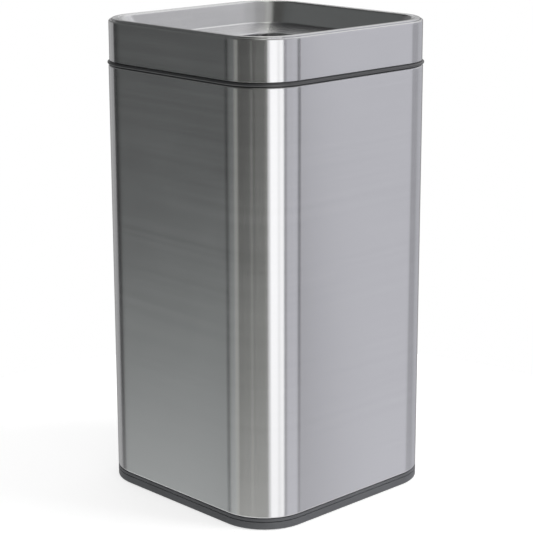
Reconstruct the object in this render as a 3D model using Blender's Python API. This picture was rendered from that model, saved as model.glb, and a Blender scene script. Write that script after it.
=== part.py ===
# A square wastepaper bin: a steel body on a plastic base, a lift-off lid with a pressed
# chute, and a plastic bucket with a bail that hangs inside.
#
# Metres, +Z up. The origin is on the floor under the middle, and the front faces -Y.
# An inset is a distance in from the outer face of the steel body.
import math

import bmesh
import bpy
from mathutils import Matrix, Vector

# Overall
WIDTH = 0.320  # across the steel body, both ways
CORNER_RADIUS = 0.064  # of the steel body, seen from above
SMALLEST_CORNER = 0.002
SHEET = 0.0008  # all pressed and folded steel
CORNER_STEPS = 8  # facets in a quarter turn of the plan
ARC_STEPS = 2  # facets in a rounded corner of a section
ROUND_STEPS = 12  # facets round a turned piece

# Clearances
GAP = 0.0003  # between pieces that touch
LID_PLAY = 0.0005  # beside the lid's lip, on both sides
BUCKET_PLAY = 0.0010  # beside the bucket's wall, inside the collar's ledge
OVERRUN = 0.0005  # how far a joined shape runs into its carrier, and a cutter past a face
WELD = 0.000002  # points this close are one point

# Feet
FOOT_RADIUS = 0.011
FOOT_PROUD = 0.0008  # below the base plate
FOOT_SUNK = 0.0012  # inside its recess
FOOT_EDGE = 0.0004
FOOT_INSET = 0.052  # of its centre, from both faces of the body

# Base plate, the lower band of the base
PLATE_BAND = 0.0096  # height of the band
PLATE_EDGE = 0.0014  # rounding of its lower edge
PLATE_WALL = 0.0026
PLATE_FLOOR = 0.0022
PLATE_RECESS = 0.0040  # from the band's lower edge up to the floor
PLATE_RIM = 0.0024  # width of the raised rim that meets the base frame
PLATE_PAD = 0.0030  # plastic round a foot
PLATE_RIB = 0.0016
PLATE_RIB_DROP = 0.0008  # between a rib and the band's lower edge
PLATE_RIB_SHARES = (-0.42, 0.42)  # places of the ribs, of half the width

# Base frame, the thin strip of the base
GROOVE = 0.0009  # between the strip and the band
FRAME_STRIP = 0.0036
FRAME_EDGE = 0.0004
FRAME_UPSTAND = 0.018  # inside the shell
FRAME_WALL = 0.0027
FRAME_WEB = 0.0022
FRAME_WEB_REACH = 0.022
BARB = 0.0015  # how far a snap edge reaches under a turned edge of the shell
BARB_TAPER = 0.0040

# Screws of the base
SCREW_RADIUS = 0.0019
SCREW_HEAD_RADIUS = 0.0038
SCREW_HEAD = 0.0022
SCREW_INSET = 0.016
BOSS_WALL = 0.0028
BOSS_HEIGHT = 0.012
SCREW_BITE = 0.0090  # length of the shank inside the boss

# Shell
SHELL_HEIGHT = 0.539
EDGE_TURN = 0.0015  # outer radius of the turned edges
EDGE_REACH = 0.0040  # of the turned edges, inwards
SEAM_WIDTH = 0.0012
SEAM_DEPTH = 0.0003
SEAM_FOLD_WIDTH = 0.010  # the folded strip behind the seam
SEAM_FOLD = 0.0014
SEAM_FOLD_STOP = 0.0020  # from the shell's edges

# Collar
COLLAR_HEIGHT = 0.0046  # above the shell
COLLAR_NECK = 0.0008  # height of the recess under the bead
COLLAR_NECK_INSET = 0.0012
BEAD_HEIGHT = 0.0031
BEAD_ROUND = 0.0014
BEAD_PROUD = 0.0014
COLLAR_WALL = 0.0020
COLLAR_SKIRT = 0.018  # below the shell's top edge
LEDGE_DEPTH = 0.0086  # from the collar's top
LEDGE_REACH = 0.0082
LEDGE = 0.0020
RIB_WIDTH = 0.0018
RIB_SHARES = (-0.5, 0.5)  # places along half of a straight side

# Lid band
BAND_INSET = 0.0010
BAND_HEIGHT = 0.0515
BAND_TURN = 0.0010
BAND_SHOULDER = 0.0022
BAND_TOP_WIDTH = 0.0031  # from the band's face to its inner fold
BAND_FOLD = 0.0040

# Chute
RIM_JOINT = 0.0004  # between the band's fold and the chute's rim
RIM_PROUD = 0.0018  # above the band
RIM_EDGE = 0.0015
RIM_SKIRT = 0.0055
RIM_INNER_INSET = 0.0132
RIM_INNER_ROUND = 0.0045
CHUTE_WALL_INSET = 0.028  # where the wall meets the floor
CHUTE_WALL_DEPTH = 0.0278
CHUTE_WALL_CORNER = 0.067  # in plan, so that the corners lean more than the sides
CHUTE_WALL_ROUND = 0.0040
CHUTE_HOLE = 0.176  # across the opening
CHUTE_HOLE_CORNER = 0.027
CHUTE_HOLE_DEPTH = 0.0342
CHUTE_HOLE_ROUND = 0.0020
CHUTE_LIP = 0.0060
STUD_RADIUS = 0.0015
STUD_INSET = 0.0094
STUD_END = 0.0010  # past the nut

# Carrier inside the lid
CARRIER_WALL = 0.0022
CARRIER_HEAD = 0.0022
CARRIER_HEAD_REACH = 0.0105
CARRIER_CREST = 0.0020  # the ridge under the chute's rim
CHANNEL_PLAY = 0.0008  # under the two folds
CHANNEL_SIDE_PLAY = 0.0004
CARRIER_FOOT = 0.0022
LIP_WALL = 0.0020
LIP_DEPTH = 0.0070
CARRIER_BOSS_RADIUS = 0.0036
CARRIER_BOSS_DROP = 0.0016  # below the ridge, to clear the rounding of the chute's rim
CARRIER_RIB_DROP = 0.012  # height of a rib under the head

# Nuts
NUT_FLATS = 0.0055
NUT_HEIGHT = 0.0024

# Bucket
BUCKET_RIM = 0.0080  # height of the turned-down rim
BUCKET_WALL = 0.0018
BUCKET_MOUTH_ROUND = 0.0010
BUCKET_DRAFT = 0.011  # how much further in the wall is at the bottom
BUCKET_STEP_DEPTH = 0.036
BUCKET_STEP = 0.0015
BUCKET_STEP_HEIGHT = 0.0020
BUCKET_HEIGHT = 0.536
BUCKET_BOTTOM_ROUND = 0.012
BUCKET_FLOOR = 0.0022
EAR = 0.0030
EAR_INSET = 0.0009  # from the rim's outer edge
EAR_WALL = 0.0022

# Bail
WIRE_RADIUS = 0.0020
WIRE_BEND = 0.0035
BAIL_PLAY = 0.0008  # between an ear and the start of the bend
PIN_END = 0.0006  # past the ear
GRIP_RADIUS = 0.0050
GRIP_LENGTH = 0.104
GRIP_END = 0.0012  # rounding of the grip's ends

# Heights, from the floor up
BAND_BOTTOM = FOOT_PROUD
BAND_TOP = BAND_BOTTOM + PLATE_BAND
PLATE_UNDER = BAND_BOTTOM + PLATE_RECESS
PLATE_TOP = PLATE_UNDER + PLATE_FLOOR
FRAME_BOTTOM = BAND_TOP + GROOVE
FRAME_TOP = FRAME_BOTTOM + FRAME_STRIP
SHELL_BOTTOM = FRAME_TOP + GAP
SHELL_TOP = SHELL_BOTTOM + SHELL_HEIGHT
COLLAR_BOTTOM = SHELL_TOP + GAP
COLLAR_TOP = COLLAR_BOTTOM + COLLAR_HEIGHT
LEDGE_TOP = COLLAR_TOP - LEDGE_DEPTH
LID_BOTTOM = COLLAR_TOP + GAP
LID_SHOULDER = LID_BOTTOM + BAND_HEIGHT
RIM_TOP = LID_SHOULDER + RIM_PROUD
CHANNEL = RIM_TOP - RIM_SKIRT - CHANNEL_PLAY
BUCKET_RIM_TOP = LEDGE_TOP + GAP + BUCKET_RIM
PIVOT_HEIGHT = BUCKET_RIM_TOP + GAP + GRIP_RADIUS

# Insets, from the steel face inwards
SKIRT_OUTER = EDGE_REACH + GAP
COLLAR_INNER = SKIRT_OUTER + COLLAR_WALL
FRAME_INNER = SKIRT_OUTER + FRAME_WALL
LIP_OUTER = COLLAR_INNER + LID_PLAY
LIP_INNER = LIP_OUTER + LIP_WALL
BUCKET_RIM_INSET = LIP_INNER + LID_PLAY
LEDGE_TIP = COLLAR_INNER + LEDGE_REACH
BUCKET_INSET = LEDGE_TIP + BUCKET_PLAY
BAND_FOLD_INSET = BAND_INSET + BAND_TOP_WIDTH
RIM_INSET = BAND_FOLD_INSET + RIM_JOINT
CARRIER_OUTER = BAND_INSET + SHEET + GAP
CARRIER_INNER = CARRIER_OUTER + CARRIER_WALL
CREST_OUTER = RIM_INSET + SHEET + CHANNEL_SIDE_PLAY
EAR_OUTER = BUCKET_RIM_INSET + EAR_INSET
EAR_INNER = EAR_OUTER + EAR
BAIL_INSET = EAR_INNER + BAIL_PLAY + WIRE_BEND

# Places
HALF = WIDTH / 2
STRAIGHT = HALF - CORNER_RADIUS  # half the straight stretch of a side
FOOT_PLACE = HALF - FOOT_INSET
SIGNS = ((1, 1), (-1, 1), (-1, -1), (1, -1))
X_UP = Matrix.Rotation(math.pi / 2, 4, "Y")


def corner_place(inset):
    """How far out along X and Y the middle of a corner is at this inset."""
    return STRAIGHT + (CORNER_RADIUS - inset) * math.sqrt(0.5)


def rounded(before, corner, after, radius):
    """An arc of this radius in place of a corner of a section."""
    before, corner, after = Vector(before), Vector(corner), Vector(after)
    turn = (corner - before).angle(after - corner)
    reach = radius * math.tan(turn / 2)
    start = corner + (before - corner).normalized() * reach
    end = corner + (after - corner).normalized() * reach
    points = []
    for step in range(ARC_STEPS + 1):
        along = step / ARC_STEPS
        shares = (1 - along) ** 2, 2 * along * (1 - along) * math.cos(turn / 2), along**2
        middle = start * shares[0] + corner * shares[1] + end * shares[2]
        points.append(tuple(middle / sum(shares)))
    return points


def section(corners):
    """Rows of (inset, height[, plan radius]) from corners that may end in {fillet radius}."""
    rows = []
    for index, corner in enumerate(corners):
        if not isinstance(corner[-1], set):
            rows.append(corner)
            continue
        before, after = corners[index - 1], corners[(index + 1) % len(corners)]
        places = [[value for value in row if not isinstance(value, set)] for row in (before, corner, after)]
        rows += rounded(*places, max(corner[-1]))
    return rows


def plan(inset, corner, seam):
    """Points of a rounded square at an inset, anticlockwise from +X."""
    half = HALF - inset
    centre = half - corner
    points = []
    for quarter, (x, y) in enumerate(SIGNS):
        for step in range(CORNER_STEPS + 1):
            angle = math.pi / 2 * (quarter + step / CORNER_STEPS)
            points.append((x * centre + corner * math.cos(angle), y * centre + corner * math.sin(angle)))
        if seam and quarter == 0:
            points += [(SEAM_WIDTH / 2, half), (0, half - SEAM_DEPTH), (-SEAM_WIDTH / 2, half)]
    return points


def row_points(row, seam):
    """The rounded square that a section's row stands for."""
    inset, height = row[0], row[1]
    corner = row[2] if len(row) > 2 else max(CORNER_RADIUS - inset, SMALLEST_CORNER)
    return [Vector((x, y, height)) for x, y in plan(inset, corner, seam)]


def swept(rows, seam=False):
    """A skin grown from row to row of a section. Also gives the edges of its two ends."""
    mesh = bmesh.new()
    verts = [mesh.verts.new(point) for point in row_points(rows[0], seam)]
    first = [mesh.edges.new((verts[i - 1], verts[i])) for i in range(len(verts))]
    last = first
    for row in rows[1:]:
        grown = bmesh.ops.extrude_edge_only(mesh, edges=last)["geom"]
        fresh = {part for part in grown if isinstance(part, bmesh.types.BMVert)}
        edges = [part for part in grown if isinstance(part, bmesh.types.BMEdge)]
        last = [edge for edge in edges if fresh.issuperset(edge.verts)]
        for index, vert in enumerate(verts):
            ends = [edge.other_vert(vert) for edge in vert.link_edges]
            verts[index] = next(end for end in ends if end in fresh)
        for vert, point in zip(verts, row_points(row, seam)):
            vert.co = point
    return mesh, first, last


def ring_mesh(corners):
    """A solid ring with this closed section."""
    rows = section(corners)
    mesh, _, _ = swept(rows + rows[:1])
    bmesh.ops.remove_doubles(mesh, verts=mesh.verts, dist=WELD)
    bmesh.ops.recalc_face_normals(mesh, faces=mesh.faces)
    return mesh


def vessel_mesh(corners):
    """A solid pan or bucket: the section runs from its inner floor, over the rim, to its underside."""
    mesh, first, last = swept(section(corners))
    for end in (first, last):
        bmesh.ops.edgeloop_fill(mesh, edges=end)
    bmesh.ops.recalc_face_normals(mesh, faces=mesh.faces)
    return mesh


def sheet_mesh(corners, seam=False):
    """The outer skin of a sheet part. Its highest faces look up."""
    mesh, _, _ = swept(section(corners), seam)
    bmesh.ops.recalc_face_normals(mesh, faces=mesh.faces)
    highest = max(mesh.faces, key=lambda face: face.calc_center_median().z)
    if highest.normal.z < 0:
        bmesh.ops.reverse_faces(mesh, faces=mesh.faces)
    return mesh


def turned_mesh(profile, steps=ROUND_STEPS):
    """A profile of (radius, height) turned about Z. It is closed, unless it starts and ends on the axis."""
    mesh = bmesh.new()
    verts = [mesh.verts.new((radius, 0, height)) for radius, height in profile]
    edges = [mesh.edges.new(pair) for pair in zip(verts, verts[1:])]
    if profile[0][0] > 0:
        edges.append(mesh.edges.new((verts[-1], verts[0])))
    bmesh.ops.spin(
        mesh, geom=edges, cent=(0, 0, 0), axis=(0, 0, 1), angle=2 * math.pi, steps=steps, use_merge=True
    )
    bmesh.ops.remove_doubles(mesh, verts=mesh.verts, dist=WELD)
    bmesh.ops.recalc_face_normals(mesh, faces=mesh.faces)
    return mesh


def add_rod(mesh, place, radius, bottom, top, steps=ROUND_STEPS):
    """A capped cylinder at (x, y) from one height to another."""
    middle = Matrix.Translation((*place, (bottom + top) / 2))
    radii = {"radius1": radius, "radius2": radius}
    bmesh.ops.create_cone(mesh, cap_ends=True, segments=steps, depth=top - bottom, matrix=middle, **radii)


def add_slab(mesh, outline, thickness):
    """An outline of 3-D points thickened both ways along its normal."""
    face = mesh.faces.new([mesh.verts.new(point) for point in outline])
    face.normal_update()
    along = face.normal * thickness
    bmesh.ops.translate(mesh, verts=face.verts, vec=-along / 2)
    top = bmesh.ops.extrude_face_region(mesh, geom=[face], use_keep_orig=True)["geom"]
    raised = [part for part in top if isinstance(part, bmesh.types.BMVert)]
    bmesh.ops.translate(mesh, verts=raised, vec=along)


def rib_mesh(outline):
    """Ribs with this outline of (inset, height), spaced along the four straight sides."""
    mesh = bmesh.new()
    for side in range(4):
        turn = Matrix.Rotation(math.pi / 2 * side, 3, "Z")
        for share in RIB_SHARES:
            points = [turn @ Vector((share * STRAIGHT, inset - HALF, height)) for inset, height in outline]
            add_slab(mesh, points, RIB_WIDTH)
    bmesh.ops.recalc_face_normals(mesh, faces=mesh.faces)
    return mesh


def rod_mesh(places, radius, bottom, top, steps=ROUND_STEPS):
    mesh = bmesh.new()
    for place in places:
        add_rod(mesh, place, radius, bottom, top, steps)
    return mesh


def corner_places(inset):
    place = corner_place(inset)
    return [(x * place, y * place) for x, y in SIGNS]


def add_object(name, mesh, material, parent):
    data = bpy.data.meshes.new(name)
    mesh.to_mesh(data)
    mesh.free()
    data.materials.append(material)
    data.shade_smooth()
    data.set_sharp_from_angle(angle=math.radians(30))
    piece = bpy.data.objects.new(name, data)
    bpy.context.scene.collection.objects.link(piece)
    piece.parent = parent
    return piece


def add_empty(name, place, parent):
    empty = bpy.data.objects.new(name, None)
    empty.empty_display_size = SHEET * 10
    empty.location = place
    bpy.context.scene.collection.objects.link(empty)
    empty.parent = parent
    return empty


def combine(piece, tool_name, mesh, operation):
    """Joins a helper shape to a piece, or cuts it away. The helper stays hidden."""
    data = bpy.data.meshes.new(tool_name)
    mesh.to_mesh(data)
    mesh.free()
    tool = bpy.data.objects.new(tool_name, data)
    bpy.context.scene.collection.objects.link(tool)
    tool.parent = piece.parent
    tool.hide_render = True
    tool.display_type = "WIRE"
    modifier = piece.modifiers.new(tool_name, "BOOLEAN")
    modifier.operation = operation
    modifier.object = tool


def thicken(piece):
    """Gives a skin the thickness of the sheet, on its inner side."""
    modifier = piece.modifiers.new("sheet", "SOLIDIFY")
    modifier.thickness = SHEET
    modifier.offset = -1
    modifier.use_even_offset = True


def finish(name, colour, roughness, metallic):
    material = bpy.data.materials.new(name)
    material.use_nodes = True
    shader = material.node_tree.nodes["Principled BSDF"]
    shader.inputs["Base Color"].default_value = (*colour, 1)
    shader.inputs["Roughness"].default_value = roughness
    shader.inputs["Metallic"].default_value = metallic
    return material


def brushed_steel():
    return finish("brushed_steel", (0.62, 0.62, 0.63), 0.28, 1)


def grey_plastic():
    return finish("grey_plastic", (0.115, 0.12, 0.125), 0.45, 0)


def black_plastic():
    return finish("black_plastic", (0.022, 0.022, 0.024), 0.5, 0)


def rubber():
    return finish("rubber", (0.03, 0.03, 0.03), 0.8, 0)


def plated_steel():
    return finish("plated_steel", (0.55, 0.55, 0.56), 0.35, 1)


def make_feet(material):
    """Rubber discs, sunk into the base plate's pads."""
    height = FOOT_PROUD + FOOT_SUNK
    profile = [
        (0, 0),
        (FOOT_RADIUS - FOOT_EDGE, 0),
        (FOOT_RADIUS, FOOT_EDGE),
        (FOOT_RADIUS, height),
        (0, height),
    ]
    for number, (x, y) in enumerate(SIGNS, 1):
        foot = add_object(f"foot_{number}", turned_mesh(profile), material, None)
        foot.location = (x * FOOT_PLACE, y * FOOT_PLACE, 0)


def make_base_plate(material):
    """Bottom pan: the band that shows, a raised rim under the frame, pads, columns and ribs."""
    rim_inset = PLATE_WALL + GAP
    rim_top = FRAME_BOTTOM - GAP
    plate = add_object(
        "base_plate",
        vessel_mesh(
            [
                (rim_inset + PLATE_RIM, PLATE_TOP),
                (rim_inset + PLATE_RIM, rim_top),
                (rim_inset, rim_top),
                (rim_inset, BAND_TOP),
                (0, BAND_TOP, {FRAME_EDGE}),
                (0, BAND_BOTTOM, {PLATE_EDGE}),
                (PLATE_WALL, BAND_BOTTOM),
                (PLATE_WALL, PLATE_UNDER),
            ]
        ),
        material,
        None,
    )
    feet = [(x * FOOT_PLACE, y * FOOT_PLACE) for x, y in SIGNS]
    pads = rod_mesh(feet, FOOT_RADIUS + GAP + PLATE_PAD, BAND_BOTTOM, PLATE_UNDER + OVERRUN)
    combine(plate, "plate_pads", pads, "UNION")
    columns = rod_mesh(corner_places(SCREW_INSET), SCREW_RADIUS + BOSS_WALL, PLATE_TOP - OVERRUN, rim_top)
    combine(plate, "plate_columns", columns, "UNION")
    reach = HALF - PLATE_WALL + OVERRUN
    low, high = BAND_BOTTOM + PLATE_RIB_DROP, PLATE_UNDER + OVERRUN
    for direction, turn in (("x", 0), ("y", math.pi / 2)):
        ribs = bmesh.new()
        for share in PLATE_RIB_SHARES:
            y = share * HALF
            outline = [(-reach, y, low), (reach, y, low), (reach, y, high), (-reach, y, high)]
            add_slab(ribs, outline, PLATE_RIB)
        ribs.transform(Matrix.Rotation(turn, 4, "Z"))
        combine(plate, f"plate_ribs_{direction}", ribs, "UNION")
    recess_top = FOOT_PROUD + FOOT_SUNK + GAP
    recesses = rod_mesh(feet, FOOT_RADIUS + GAP, BAND_BOTTOM - OVERRUN, recess_top)
    combine(plate, "foot_recesses", recesses, "DIFFERENCE")
    bore = SCREW_RADIUS + GAP
    holes = rod_mesh(corner_places(SCREW_INSET), bore, PLATE_UNDER - OVERRUN, rim_top + OVERRUN)
    combine(plate, "plate_holes", holes, "DIFFERENCE")


def make_base_frame(material):
    """Ring under the shell, with a snap edge over the shell's lower fold and bosses for the screws."""
    fold_top = SHELL_BOTTOM + SHEET + GAP
    upstand_top = SHELL_BOTTOM + FRAME_UPSTAND
    web_top = FRAME_BOTTOM + FRAME_WEB
    frame = add_object(
        "base_frame",
        ring_mesh(
            [
                (SKIRT_OUTER, FRAME_TOP),
                (0, FRAME_TOP, {FRAME_EDGE}),
                (0, FRAME_BOTTOM, {FRAME_EDGE}),
                (FRAME_WEB_REACH, FRAME_BOTTOM),
                (FRAME_WEB_REACH, web_top),
                (FRAME_INNER, web_top),
                (FRAME_INNER, upstand_top),
                (SKIRT_OUTER, upstand_top),
                (SKIRT_OUTER, fold_top + BARB_TAPER),
                (SKIRT_OUTER - BARB, fold_top + BARB / 2),
                (SKIRT_OUTER - BARB, fold_top),
                (SKIRT_OUTER, fold_top),
            ]
        ),
        material,
        None,
    )
    places = corner_places(SCREW_INSET)
    boss_top = web_top + BOSS_HEIGHT
    bosses = rod_mesh(places, SCREW_RADIUS + BOSS_WALL, web_top - OVERRUN, boss_top)
    combine(frame, "frame_bosses", bosses, "UNION")
    bores = rod_mesh(places, SCREW_RADIUS + GAP, FRAME_BOTTOM - OVERRUN, boss_top + OVERRUN)
    combine(frame, "frame_bores", bores, "DIFFERENCE")


def make_base_screws(material):
    """Pan-head screws, up through the base plate into the frame's bosses."""
    head_top = PLATE_UNDER - GAP
    profile = [
        (0, head_top - SCREW_HEAD),
        (SCREW_HEAD_RADIUS - SCREW_HEAD / 3, head_top - SCREW_HEAD),
        (SCREW_HEAD_RADIUS, head_top - SCREW_HEAD * 2 / 3),
        (SCREW_HEAD_RADIUS, head_top),
        (SCREW_RADIUS, head_top),
        (SCREW_RADIUS, FRAME_BOTTOM + SCREW_BITE - SCREW_RADIUS),
        (0, FRAME_BOTTOM + SCREW_BITE),
    ]
    for number, (x, y) in enumerate(corner_places(SCREW_INSET), 1):
        screw = add_object(f"base_screw_{number}", turned_mesh(profile), material, None)
        screw.location = (x, y, 0)


def make_shell(material):
    """Steel wrap with turned-in edges, its seam at the rear and the fold behind the seam."""
    shell = add_object(
        "body_shell",
        sheet_mesh(
            [
                (EDGE_REACH, SHELL_BOTTOM),
                (0, SHELL_BOTTOM, {EDGE_TURN}),
                (0, SHELL_TOP, {EDGE_TURN}),
                (EDGE_REACH, SHELL_TOP),
            ],
            seam=True,
        ),
        material,
        None,
    )
    thicken(shell)
    fold = bmesh.new()
    face = HALF - SHEET - SEAM_FOLD / 2 + OVERRUN / 2
    low, high = SHELL_BOTTOM + SEAM_FOLD_STOP, SHELL_TOP - SEAM_FOLD_STOP
    half = SEAM_FOLD_WIDTH / 2
    outline = [(half, face, low), (half, face, high), (-half, face, high), (-half, face, low)]
    add_slab(fold, outline, SEAM_FOLD + OVERRUN)
    combine(shell, "seam_fold", fold, "UNION")


def make_collar(material):
    """Ring on the shell's top edge: the bead, the lid's seat and the ledge that carries the bucket."""
    fold_bottom = SHELL_TOP - SHEET - GAP
    bead_low = COLLAR_BOTTOM + COLLAR_NECK
    bead_high = bead_low + BEAD_HEIGHT
    skirt_bottom = SHELL_TOP - COLLAR_SKIRT
    collar = add_object(
        "collar",
        ring_mesh(
            [
                (COLLAR_NECK_INSET, COLLAR_BOTTOM),
                (COLLAR_NECK_INSET, bead_low),
                (-BEAD_PROUD, bead_low, {BEAD_ROUND}),
                (-BEAD_PROUD, bead_high, {BEAD_ROUND}),
                (COLLAR_NECK_INSET, bead_high),
                (COLLAR_NECK_INSET, COLLAR_TOP),
                (COLLAR_INNER, COLLAR_TOP),
                (COLLAR_INNER, LEDGE_TOP),
                (LEDGE_TIP, LEDGE_TOP),
                (LEDGE_TIP, LEDGE_TOP - LEDGE),
                (COLLAR_INNER, LEDGE_TOP - LEDGE),
                (COLLAR_INNER, skirt_bottom),
                (SKIRT_OUTER, skirt_bottom),
                (SKIRT_OUTER, fold_bottom - BARB_TAPER),
                (SKIRT_OUTER - BARB, fold_bottom - BARB / 2),
                (SKIRT_OUTER - BARB, fold_bottom),
                (SKIRT_OUTER, fold_bottom),
                (SKIRT_OUTER, COLLAR_BOTTOM),
            ]
        ),
        material,
        None,
    )
    gusset_top = LEDGE_TOP - LEDGE / 2
    gusset_root = COLLAR_INNER - COLLAR_WALL / 2
    gussets = rib_mesh(
        [
            (gusset_root, gusset_top),
            (LEDGE_TIP - GAP, gusset_top),
            (LEDGE_TIP - GAP, LEDGE_TOP - LEDGE - OVERRUN),
            (COLLAR_INNER + GAP, skirt_bottom + OVERRUN),
            (gusset_root, skirt_bottom + OVERRUN),
        ]
    )
    combine(collar, "collar_gussets", gussets, "UNION")


def make_lid_band(material, lid):
    """Steel skirt of the lid, turned in below and rolled over into a fold above."""
    band = add_object(
        "lid_band",
        sheet_mesh(
            [
                (BAND_INSET + EDGE_REACH - SHEET, LID_BOTTOM),
                (BAND_INSET, LID_BOTTOM, {BAND_TURN}),
                (BAND_INSET, LID_SHOULDER, {BAND_SHOULDER}),
                (BAND_FOLD_INSET, LID_SHOULDER),
                (BAND_FOLD_INSET, LID_SHOULDER - BAND_FOLD),
            ]
        ),
        material,
        lid,
    )
    thicken(band)


def make_funnel(material, lid):
    """Pressed chute: a proud rim, leaning walls with opened corners, a dished floor and a lipped hole."""
    hole_inset = HALF - CHUTE_HOLE / 2
    hole_height = RIM_TOP - CHUTE_HOLE_DEPTH
    rim_corner = CORNER_RADIUS - RIM_INSET
    mouth_corner = CORNER_RADIUS - RIM_INNER_INSET
    funnel = add_object(
        "lid_funnel",
        sheet_mesh(
            [
                (RIM_INSET, RIM_TOP - RIM_SKIRT, rim_corner),
                (RIM_INSET, RIM_TOP, rim_corner, {RIM_EDGE}),
                (RIM_INNER_INSET, RIM_TOP, mouth_corner, {RIM_INNER_ROUND}),
                (CHUTE_WALL_INSET, RIM_TOP - CHUTE_WALL_DEPTH, CHUTE_WALL_CORNER, {CHUTE_WALL_ROUND}),
                (hole_inset, hole_height, CHUTE_HOLE_CORNER, {CHUTE_HOLE_ROUND}),
                (hole_inset, hole_height - CHUTE_LIP, CHUTE_HOLE_CORNER),
            ]
        ),
        material,
        lid,
    )
    thicken(funnel)
    stud_bottom = CHANNEL - CARRIER_HEAD - GAP - NUT_HEIGHT - STUD_END
    studs = rod_mesh(corner_places(STUD_INSET), STUD_RADIUS, stud_bottom, RIM_TOP - SHEET + OVERRUN / 2)
    combine(funnel, "funnel_studs", studs, "UNION")


def make_carrier(material, lid):
    """Moulded ring inside the lid: it carries the band and the chute, and its lip drops into the collar."""
    foot_top = LID_BOTTOM + SHEET + GAP + CARRIER_FOOT
    foot_bottom = foot_top - CARRIER_FOOT
    step_inset = BAND_INSET + EDGE_REACH - SHEET + GAP
    crest_top = RIM_TOP - SHEET - GAP
    crest_inner = CREST_OUTER + CARRIER_CREST
    head_tip = CARRIER_OUTER + CARRIER_HEAD_REACH
    head_bottom = CHANNEL - CARRIER_HEAD
    carrier = add_object(
        "lid_carrier",
        ring_mesh(
            [
                (CARRIER_OUTER, foot_bottom + BAND_TURN),
                (CARRIER_OUTER, CHANNEL),
                (CREST_OUTER, CHANNEL),
                (CREST_OUTER, crest_top),
                (crest_inner, crest_top),
                (crest_inner, CHANNEL),
                (head_tip, CHANNEL),
                (head_tip, head_bottom),
                (CARRIER_INNER, head_bottom),
                (CARRIER_INNER, foot_top),
                (LIP_INNER, foot_top),
                (LIP_INNER, LID_BOTTOM - LIP_DEPTH),
                (LIP_OUTER, LID_BOTTOM - LIP_DEPTH),
                (LIP_OUTER, LID_BOTTOM),
                (step_inset, LID_BOTTOM),
                (step_inset, foot_bottom),
                (CARRIER_OUTER + BAND_TURN, foot_bottom),
            ]
        ),
        material,
        lid,
    )
    places = corner_places(STUD_INSET)
    boss_top = crest_top - CARRIER_BOSS_DROP
    bosses = rod_mesh(places, CARRIER_BOSS_RADIUS, head_bottom + OVERRUN, boss_top)
    combine(carrier, "carrier_bosses", bosses, "UNION")
    rib_root = CARRIER_INNER - CARRIER_WALL / 2
    ribs = rib_mesh(
        [
            (rib_root, head_bottom + OVERRUN),
            (head_tip - GAP, head_bottom + OVERRUN),
            (head_tip - GAP, head_bottom - OVERRUN),
            (CARRIER_INNER + GAP, head_bottom - CARRIER_RIB_DROP),
            (rib_root, head_bottom - CARRIER_RIB_DROP),
        ]
    )
    combine(carrier, "carrier_ribs", ribs, "UNION")
    holes = rod_mesh(places, STUD_RADIUS + GAP, head_bottom - OVERRUN, crest_top + OVERRUN)
    combine(carrier, "carrier_holes", holes, "DIFFERENCE")


def nut_mesh():
    """A hexagon with a round bore. Each flat is split once, so both outlines have twelve edges."""
    mesh = bmesh.new()
    bmesh.ops.create_circle(mesh, segments=6, radius=NUT_FLATS / 2 / math.cos(math.pi / 6))
    bmesh.ops.subdivide_edges(mesh, edges=mesh.edges[:], cuts=1)
    outer = mesh.edges[:]
    bore = bmesh.ops.create_circle(mesh, segments=12, radius=STUD_RADIUS + GAP)
    inner = list({edge for vert in bore["verts"] for edge in vert.link_edges})
    bmesh.ops.bridge_loops(mesh, edges=outer + inner)
    top = bmesh.ops.extrude_face_region(mesh, geom=mesh.faces[:], use_keep_orig=True)["geom"]
    raised = [part for part in top if isinstance(part, bmesh.types.BMVert)]
    bmesh.ops.translate(mesh, verts=raised, vec=(0, 0, NUT_HEIGHT))
    bmesh.ops.recalc_face_normals(mesh, faces=mesh.faces)
    return mesh


def make_nuts(material, lid):
    """Nuts on the chute's studs, under the carrier's head."""
    nut_bottom = CHANNEL - CARRIER_HEAD - GAP - NUT_HEIGHT
    for number, (x, y) in enumerate(corner_places(STUD_INSET), 1):
        nut = add_object(f"funnel_nut_{number}", nut_mesh(), material, lid)
        nut.location = (x, y, nut_bottom)


def ear_mesh(bored):
    """The two ears on the bucket's rim or, if bored, the holes through them."""
    mesh = bmesh.new()
    bore = WIRE_RADIUS + GAP
    outer = bore + EAR_WALL
    middle = HALF - EAR_OUTER - EAR / 2
    foot = BUCKET_RIM_TOP - OVERRUN
    for side in (1, -1):
        if bored:
            place = Matrix.Translation((side * middle, 0, PIVOT_HEIGHT)) @ X_UP
            radii = {"radius1": bore, "radius2": bore}
            bmesh.ops.create_cone(
                mesh, cap_ends=True, segments=ROUND_STEPS, depth=EAR * 2, matrix=place, **radii
            )
            continue
        angles = [math.pi * step / ROUND_STEPS * 2 for step in range(ROUND_STEPS // 2 + 1)]
        arch = [(outer * math.cos(angle), PIVOT_HEIGHT + outer * math.sin(angle)) for angle in angles]
        outline = [(outer + EAR_WALL, foot)] + arch + [(-outer - EAR_WALL, foot)]
        add_slab(mesh, [(side * middle, y, z) for y, z in outline], EAR)
    bmesh.ops.recalc_face_normals(mesh, faces=mesh.faces)
    return mesh


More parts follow.
